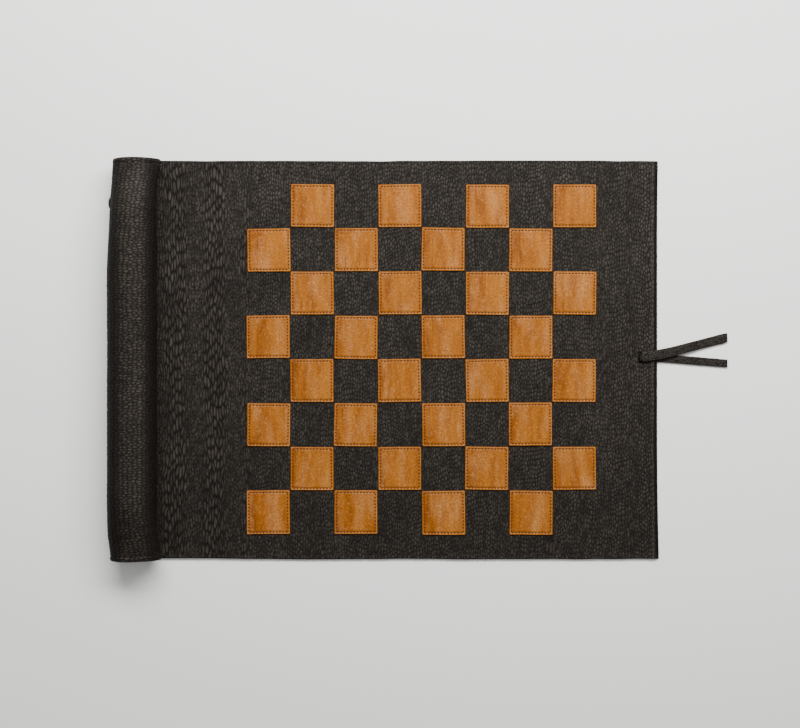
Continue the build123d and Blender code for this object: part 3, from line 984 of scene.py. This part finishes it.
edge_places = []
for side in (-1, 1):
    x = BENDS[0] - SX - 2.0
    while x < RIGHT - SX - 3.0:
        y = side * (HALF_W - 2.7)
        z = float(face_top(np.array([x]), np.array([y]))[0])
        edge_places.append((x + SX, y, z + 0.12, 0.0))
        x += 2.85
y = -HALF_W + 4.0
for k, pl in by_interval(edge_places).items():
    ob = stitch_mesh(f"edge_stitches_{k + 1:02d}", pl, M_BSTITCH)
    settle(ob, k)


# ------------------------------------------------------------------ pouch
def tube_shape(y):
    """Half-width, half-height and axis X of the filled pouch: full in the middle, pinched flatter at its sewn ends."""
    t = np.abs(np.asarray(y, float)) / HALF_W
    far = sstep(-20.0, 20.0, np.asarray(y, float))
    rx = R_OUT - 2.5 * far * sstep(0.36, 1.0, t) - 1.15 * (1 - far) * sstep(0.86, 0.97, t) + 0.16 * vnoise(np.asarray(y) / 19.0, 0 * t, 120)
    rz = R_OUT * (1.0 - 0.225 * sstep(0.70, 1.0, t))
    cx = CX + (R_OUT - rx) * 0.55
    return rx, rz, cx


def tube_cells(arc, y):
    """Pebbles lying across the pouch, pressed flat into short scales."""
    a = arc + 1.1 * fbm(arc / 7.0, y / 8.0, 131, 2)
    b = y + 1.1 * fbm(arc / 8.0 + 7, y / 7.0, 132, 2)
    f1, f2 = worley(a / 4.2, b / 2.25, 133)
    return np.clip((f2 - f1) / 0.5, 0, 1)


def tube_grain(arc, y):
    d = tube_cells(arc, y)
    d = d * d * (3 - 2 * d)
    return 0.42 * (d - 0.6) + 0.20 * fbm(arc / 9.0, y / 26.0, 134, 2)


def tube_tone_and_painted_light(arc, y):
    d = tube_cells(arc, y)
    patchy = 1.0 + 0.5 * vnoise(arc / 3.6, y / 2.4, 155) + 0.12 * fbm(arc / 18.0, y / 20.0, 156, 2)
    # dark cell edges are painted shade in the grain's valleys, bright cell middles painted highlight; the patchy
    # factor is random tone
    return np.clip((0.14 + 0.80 * d) * patchy, 0, 1)


ZIP = 185.0
UP_LIP, LOW_LIP = ZIP - 13.5, ZIP + 13.5
END_Y = HALF_W - 0.2
END_TURN = 2.3                     # radius of the turned edge round each end


def shell(name, P, tone_arc, grain_h, inward, material, skip_round=None):
    """A leather wall over the points P (rows along the pouch), with relief outside and a plain inner face."""
    ny, na = P.shape[:2]
    dA, dY = np.gradient(P, axis=1), np.gradient(P, axis=0)
    N = np.cross(dA, dY)
    N /= np.maximum(np.linalg.norm(N, axis=2)[..., None], 1e-9)
    mid = P[ny // 2]
    ref = np.array([CX, 0, CZ])
    lean = ((mid - ref) * N[ny // 2]).sum(1)
    if lean[na // 2] < 0:
        N = -N
    out = P + N * grain_h[..., None]
    inner = P - N * inward[..., None]
    out[..., 2] = np.maximum(out[..., 2], 0.02)
    inner[..., 2] = np.maximum(inner[..., 2], 0.02)
    verts = np.concatenate([out.reshape(-1, 3), inner.reshape(-1, 3)])
    rest = np.stack([tone_arc[0], P[..., 1], tone_arc[1]], -1).reshape(-1, 3)
    rest2 = rest.copy()
    rest2[:, 2] = 0.2
    n = ny * na
    idx = np.arange(n).reshape(ny, na)
    a, b, c, d = idx[:-1, :-1].ravel(), idx[1:, :-1].ravel(), idx[1:, 1:].ravel(), idx[:-1, 1:].ravel()
    quads = [np.stack([a, b, c, d], 1), np.stack([a, d, c, b], 1) + n]
    for line, flip in ((idx[0, :], True), (idx[-1, :], False), (idx[:, 0], False), (idx[:, -1], True)):
        q = np.stack([line[:-1], line[1:], line[1:] + n, line[:-1] + n], 1)
        quads.append(q[:, ::-1] if flip else q)
    me = new_mesh(name, verts, np.concatenate(quads), None, np.concatenate([rest, rest2]))
    bm = bmesh.new()
    bm.from_mesh(me)
    bmesh.ops.recalc_face_normals(bm, faces=bm.faces)
    bm.to_mesh(me)
    bm.free()
    return add(name, me, material)


def arc_of(P):
    seg = np.linalg.norm(np.diff(P, axis=1), axis=2)
    return np.concatenate([np.zeros((P.shape[0], 1)), np.cumsum(seg, 1)], 1)


def build_cover():
    ys = np.unique(np.concatenate([spaced(-END_Y, -END_Y + 6, 0.3), spaced(-END_Y + 6, END_Y - 6, 0.6), spaced(END_Y - 6, END_Y, 0.3)]))
    ang = np.radians(np.linspace(UP_LIP, -50.0, 120))
    t = np.linspace(0, 1, 22)[1:]
    rows = []
    for y in ys:
        rx, rz, cx = (float(v) for v in tube_shape(y))
        turn = edge_round(END_Y - abs(y), END_TURN)
        shrink = 1 - 0.9 * turn / rz
        e = float(sstep(0.86, 1.0, abs(y) / HALF_W))
        px = cx + rx * shrink * np.cos(ang)
        pz = rz + (rz * shrink) * np.sin(ang)
        # towards each end the right flank runs out to the mat in a long gentle slope
        drop = np.clip(np.cos(ang), 0, 1) ** 1.5
        px = px + e * 8.0 * drop * np.clip(1 - pz / (2 * rz), 0, 1)
        x_foot, z_foot = px[-1], max(float(pz[-1]), MAT_T + 0.9)
        x_end = FLANGE - 0.4 + 0.5 * float(vnoise(np.array([y / 17.0]), np.array([0.0]), 140)[0])
        fx = x_foot + (x_end - x_foot) * t
        z_end = MAT_T + 1.75
        fz = z_foot + (z_end - z_foot) * np.clip(t / 0.45, 0, 1) ** 0.6
        fz = fz - 0.9 * edge_round(np.clip((1 - t) * (x_end - x_foot), 0, 0.9), 0.9)
        rows.append(np.stack([np.concatenate([px, fx]), np.full(len(px) + len(fx), y), np.concatenate([pz, fz])], 1))
    P = np.array(rows)
    arc = arc_of(P)
    Y = P[..., 1]
    end = END_Y - np.abs(Y)
    h = tube_grain(arc, Y) * sstep(0.4, 2.0, end)
    h = h - 0.30 * np.exp(-((end - 4.6) / 0.7) ** 2) + 0.14 * np.exp(-((end - 3.2) / 0.8) ** 2)
    h = h - 0.30 * np.exp(-((arc - 3.2) / 0.8) ** 2) + 0.20 * np.exp(-((arc - 1.4) / 0.9) ** 2)
    h = h - 0.6 * edge_round(np.clip(arc, 0, 0.9), 0.9)
    left = arc[:, -1:] - arc
    h = h - 0.34 * np.exp(-((left - 3.2) / 0.6) ** 2) + 0.16 * np.exp(-((left - 1.7) / 0.7) ** 2)
    tone = tube_tone_and_painted_light(arc, Y)
    # painted shade: dark down both flanks and in the fold by the seam, the crest left at full tone
    nx = (P[..., 0] - CX) / R_OUT
    tone = tone * (0.22 + 0.78 * sstep(-0.72, -0.22, nx)) * (1 - 0.62 * sstep(0.46, 0.90, nx))
    # a lighter line along the flange's edge, broken along its length: painted highlight where the edge catches the
    # light
    line = (0.55 + 0.9 * vnoise(Y / 3.4, 0 * Y, 141)) * sstep(4.0, 22.0, end)
    tone = tone + 1.0 * np.exp(-((left - 1.6) / 0.75) ** 2) * np.clip(line, 0, 1.3)
    thick = np.full(P.shape[:2], 1.75)
    flat_part = np.arange(P.shape[1]) > 118
    thick[:, flat_part] = np.clip(P[:, flat_part, 2] - (MAT_T - 0.15), 0.4, 1.75)
    return shell("pouch_cover_leather", P, (arc, np.clip(tone, 0, 1)), h, thick, M_TUBE), P, arc


cover, COVER_P, COVER_ARC = build_cover()
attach(cover, "pouch")
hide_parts("pouch_cover")


def build_base():
    """Leather under the tube, from the first bend round to the lower lip; the flat part meets the mat."""
    ys = np.unique(np.concatenate([spaced(-END_Y, -END_Y + 6, 0.4), spaced(-END_Y + 6, END_Y - 6, 0.9), spaced(END_Y - 6, END_Y, 0.4)]))
    x_flat = np.linspace(CUTS[0], CX, 30)
    ang = np.radians(np.linspace(270.0, LOW_LIP, 60))[1:]
    rows = []
    for y in ys:
        rx, rz, cx = (float(v) for v in tube_shape(y))
        turn = edge_round(END_Y - abs(y), END_TURN)
        shrink = 1 - 0.9 * turn / rz
        px = np.concatenate([x_flat, cx + (CX - cx) * 0 + rx * shrink * np.cos(ang)])
        pz = np.concatenate([np.full(len(x_flat), 0.03), rz + rz * shrink * np.sin(ang)])
        rows.append(np.stack([px, np.full_like(px, y), np.maximum(pz, 0.03)], 1))
    P = np.array(rows)
    arc = arc_of(P)
    Y = P[..., 1]
    end = arc[:, -1:] - arc
    flank = sstep(CX - 6, CX - 14, P[..., 0])
    h = tube_grain(arc + 200, Y) * flank
    h = h - flank * (0.30 * np.exp(-((end - 3.2) / 0.8) ** 2) - 0.2 * np.exp(-((end - 1.4) / 0.9) ** 2))
    h = h - 0.6 * edge_round(np.clip(end, 0, 0.9), 0.9)
    thick = np.full(P.shape[:2], 1.8)
    return shell("pouch_base_leather", P, (arc + 300, np.clip(tube_tone_and_painted_light(arc + 200, Y), 0, 1)), h, thick, M_TUBE)


base = build_base()
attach(base, "pouch")
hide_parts("pouch_base")


def build_gusset(side):
    """The sewn-in end disc: slightly dished, with a welt standing round its rim."""
    y_rim = side * (END_Y - 1.1)
    rx, rz, cx = (float(v) for v in tube_shape(END_Y))
    n_r, n_a = 26, 120
    rad = np.linspace(0.02, 1.0, n_r)
    ang = np.linspace(0, 2 * np.pi, n_a, endpoint=False)
    Rr, A = np.meshgrid(rad, ang, indexing="ij")
    ex, ez = (rx - 2.6) * Rr, (rz - 2.6) * Rr
    X, Z = cx + ex * np.cos(A), rz + ez * np.sin(A)
    # follow the cover's long right flank
    X = X + 7.0 * Rr * np.clip(np.cos(A), 0, 1) ** 1.5 * np.clip(1 - Z / (2 * rz), 0, 1)
    dist = (1 - Rr) * rx
    dome = 0.5 * (1 - Rr ** 2) + 1.0 * np.exp(-((dist - 1.5) / 1.0) ** 2) - 0.35 * np.exp(-((dist - 3.4) / 0.6) ** 2)
    g1, g2 = worley(X / 2.0, Z / 2.0, 171)
    cell = np.clip((g2 - g1) / 0.5, 0, 1)
    Yf = y_rim + side * (dome * 0.8 + 0.16 * (cell - 0.6) * sstep(0, 1.5, dist))
    Yb = np.full_like(Yf, y_rim - side * 1.6)
    V = np.concatenate([np.stack([X, Yf, Z], -1).reshape(-1, 3), np.stack([X, Yb, Z], -1).reshape(-1, 3)])
    # tone is low along the grain's cell edges: painted shade in the valleys of the grain
    tone = np.clip(0.08 + 0.62 * cell, 0, 1)
    rest = np.concatenate([np.stack([X, Z, tone], -1).reshape(-1, 3)] * 2)
    n = n_r * n_a
    idx = np.arange(n).reshape(n_r, n_a)
    nxt = np.roll(idx, -1, axis=1)
    q = np.stack([idx[:-1].ravel(), idx[1:].ravel(), nxt[1:].ravel(), nxt[:-1].ravel()], 1)
    rim = np.stack([idx[-1], idx[-1] + n, nxt[-1] + n, nxt[-1]], 1)
    quads = np.concatenate([q, q[:, ::-1] + n, rim])
    c0 = len(V)
    V = np.concatenate([V, [[cx, float(Yf[0].mean()), rz], [cx, float(Yb[0].mean()), rz]]])
    rest = np.concatenate([rest, [[cx, rz, 0.5]] * 2])
    tris = []
    for k in range(n_a):
        tris.append((c0, idx[0, k], nxt[0, k]))
        tris.append((c0 + 1, nxt[0, k] + n, idx[0, k] + n))
    me = new_mesh(f"end_gusset_{'far' if side > 0 else 'near'}", V, quads, None, rest, True, tris)
    bm = bmesh.new()
    bm.from_mesh(me)
    bmesh.ops.recalc_face_normals(bm, faces=bm.faces)
    bm.to_mesh(me)
    bm.free()
    return add(me.name, me, M_TUBE)


for side in (1, -1):
    g = build_gusset(side)
    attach(g, "pouch")
    if side > 0:
        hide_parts("end_gussets")


# ------------------------------------------------------------------ zip
def on_tube(y, deg, inset):
    rx, rz, cx = (float(v) for v in tube_shape(y))
    a = math.radians(deg)
    return np.array([cx + (rx - inset) * math.cos(a), y, rz + (rz - inset) * math.sin(a)])


def zip_dir(y, deg):
    a = math.radians(deg)
    return np.array([math.cos(a), 0, math.sin(a)]), np.array([-math.sin(a), 0, math.cos(a)])


def tape(name, deg0, deg1):
    ys = spaced(-HALF_W + 1.6, HALF_W - 1.6, 1.0)
    m = 9
    verts, rest = [], []
    for y in ys:
        for layer, inset in ((0, 1.15), (1, 1.75)):
            for j in range(m):
                d = deg0 + (deg1 - deg0) * j / (m - 1)
                verts.append(on_tube(y, d, inset + 0.06 * math.sin(y * 2.2)))
                rest.append((d, y, 0.3))
    ny = len(ys)
    idx = np.arange(ny * 2 * m).reshape(ny, 2, m)
    ring = np.concatenate([idx[:, 0, :], idx[:, 1, ::-1]], 1)
    nxt = np.roll(ring, -1, axis=1)
    quads = np.stack([ring[:-1].ravel(), ring[1:].ravel(), nxt[1:].ravel(), nxt[:-1].ravel()], 1)
    cap = []
    for row, flip in ((ring[0], False), (ring[-1], True)):
        for j in range(m - 1):
            q = (row[j], row[j + 1], row[2 * m - 2 - j], row[2 * m - 1 - j])
            cap.append(q[::-1] if flip else q)
    me = new_mesh(name, verts, np.concatenate([quads, np.array(cap)]), None, rest)
    bm = bmesh.new()
    bm.from_mesh(me)
    bmesh.ops.recalc_face_normals(bm, faces=bm.faces)
    bm.to_mesh(me)
    bm.free()
    return add(name, me, M_TAPE)


BOX_Q = np.array([(0, 1, 3, 2), (4, 6, 7, 5), (0, 4, 5, 1), (2, 3, 7, 6), (0, 2, 6, 4), (1, 5, 7, 3)])


def many_boxes(name, places, material):
    """places: (centre, half sizes along outward, along Y, along the girth, outward dir, girth dir)"""
    V, Q = [], []
    for k, (c, hs, o, g) in enumerate(places):
        for sx in (-1, 1):
            for sy in (-1, 1):
                for sz in (-1, 1):
                    V.append(c + o * hs[0] * sx + np.array([0, hs[1] * sy, 0]) + g * hs[2] * sz)
        Q.append(BOX_Q + 8 * k)
    me = new_mesh(name, V, np.concatenate(Q), None, np.array(V), False)
    bm = bmesh.new()
    bm.from_mesh(me)
    bmesh.ops.recalc_face_normals(bm, faces=bm.faces)
    bmesh.ops.bevel(bm, geom=list(bm.edges), offset=0.00013, segments=1, affect="EDGES")
    bm.to_mesh(me)
    bm.free()
    return add(name, me, material)


for name, d0, d1, rep_ in (("zip_tape_upper", ZIP - 16.5, ZIP - 3.2, "zip_tapes"), ("zip_tape_lower", ZIP + 3.2, ZIP + 16.5, None)):
    ob = tape(name, d0, d1)
    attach(ob, "pouch")
    if rep_:
        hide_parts(rep_)
teeth = []
y = -157.0
k = 0
while y < 140.5:
    deg = ZIP + (1.9 if k % 2 else -1.9)
    o, g = zip_dir(y, deg)
    teeth.append((on_tube(y, deg, 1.1), (0.55, 0.46, 0.95), o, g))
    y += 1.05
    k += 1
ob = many_boxes("zip_teeth", teeth, M_NYLON)
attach(ob, "pouch")
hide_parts("zip_rows")
stops = []
for y in (-159.4, 143.2):
    for deg in (ZIP - 2.6, ZIP + 2.6):
        o, g = zip_dir(y, deg)
        stops.append((on_tube(y, deg, 1.0), (0.75, 1.2, 0.95), o, g))
ob = many_boxes("zip_end_stops", stops, M_METAL)
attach(ob, "pouch")
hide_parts("zip_stops")

# ------------------------------------------------------------------ CAD nodes that stay: better materials
def give(node, material):
    ob = frame["nodes"][node]
    ob.data.materials.clear()
    ob.data.materials.append(material)


give("end_gussets", M_GUSSET)
give("zip_tapes", M_TAPE)
give("zip_rows", M_NYLON)
give("zip_stops", M_METAL)
give("zip_slider", M_METAL)
give("zip_pull", M_METAL)
give("men_light", M_MLIGHT)
give("men_dark", M_MDARK)
give("thong_fold", M_FOLD_SHADED)
for i in range(1, 24):
    give(f"mat_{i:02d}", M_GUSSET)
for c in range(1, 9):
    for h in "ab":
        give(f"light_square_{c}{h}", M_GUSSET)

def drawn_in(node, body, shift, material):
    """The part as modelled, set against the leather where the pouch narrows."""
    src = frame["nodes"][node]
    me = src.data.copy()
    me.name = node + "_finished"
    co = np.zeros(len(me.vertices) * 3, np.float32)
    me.vertices.foreach_get("co", co)
    co = co.reshape(-1, 3) + np.array(shift, np.float32) * MM
    me.vertices.foreach_set("co", co.ravel())
    me.materials.clear()
    bm = bmesh.new()
    bm.from_mesh(me)
    bmesh.ops.remove_doubles(bm, verts=bm.verts, dist=1e-6)
    bm.to_mesh(me)
    bm.free()
    ob = add(node + "_finished", me, material)
    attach(ob, body)
    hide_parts(node)
    return ob


shift = (float(on_tube(134.0, ZIP, 0)[0] - (CX + R_OUT * math.cos(math.radians(ZIP)))) - 0.3, 0, 0)
drawn_in("zip_slider", "zip_slider", shift, M_METAL)
drawn_in("zip_pull", "zip_pull", shift, M_METAL)

# ------------------------------------------------------------------ stage and light
floor_me = bpy.data.meshes.new("floor")
S = 4.0
floor_me.from_pydata([(-S, -S, -0.0003), (S, -S, -0.0003), (S, S, -0.0003), (-S, S, -0.0003)], [], [(0, 1, 2, 3)])
floor = bpy.data.objects.new("floor", floor_me)
bpy.context.scene.collection.objects.link(floor)
fm, fnt, fb = nodes_of("floor_paint")
fb.inputs["Base Color"].default_value = (1.0, 1.0, 1.0, 1)
fb.inputs["Roughness"].default_value = 0.9
fb.inputs["Specular IOR Level"].default_value = 0.1
floor_me.materials.append(fm)

world = bpy.data.worlds.new("world")
bpy.context.scene.world = world
world.use_nodes = True
bg = world.node_tree.nodes["Background"]
bg.inputs[0].default_value = (1.0, 0.99, 0.975, 1)
bg.inputs[1].default_value = 0.31


def area(name, loc, target, size, power, col=(1, 1, 1)):
    li = bpy.data.lights.new(name, "AREA")
    li.shape = "RECTANGLE"
    li.size, li.size_y = size
    li.energy = power
    li.color = col
    ob = bpy.data.objects.new(name, li)
    bpy.context.scene.collection.objects.link(ob)
    ob.location = loc
    d = Vector(target) - Vector(loc)
    ob.rotation_euler = d.to_track_quat("-Z", "Y").to_euler()
    return ob


area("key", (0.12, 0.68, 0.76), (0.02, 0.12, 0), (1.4, 0.40), 27.0, (1.0, 0.985, 0.96))
area("fill", (0.1, 0.2, 2.2), (0, 0, 0), (1.4, 1.4), 4.5)
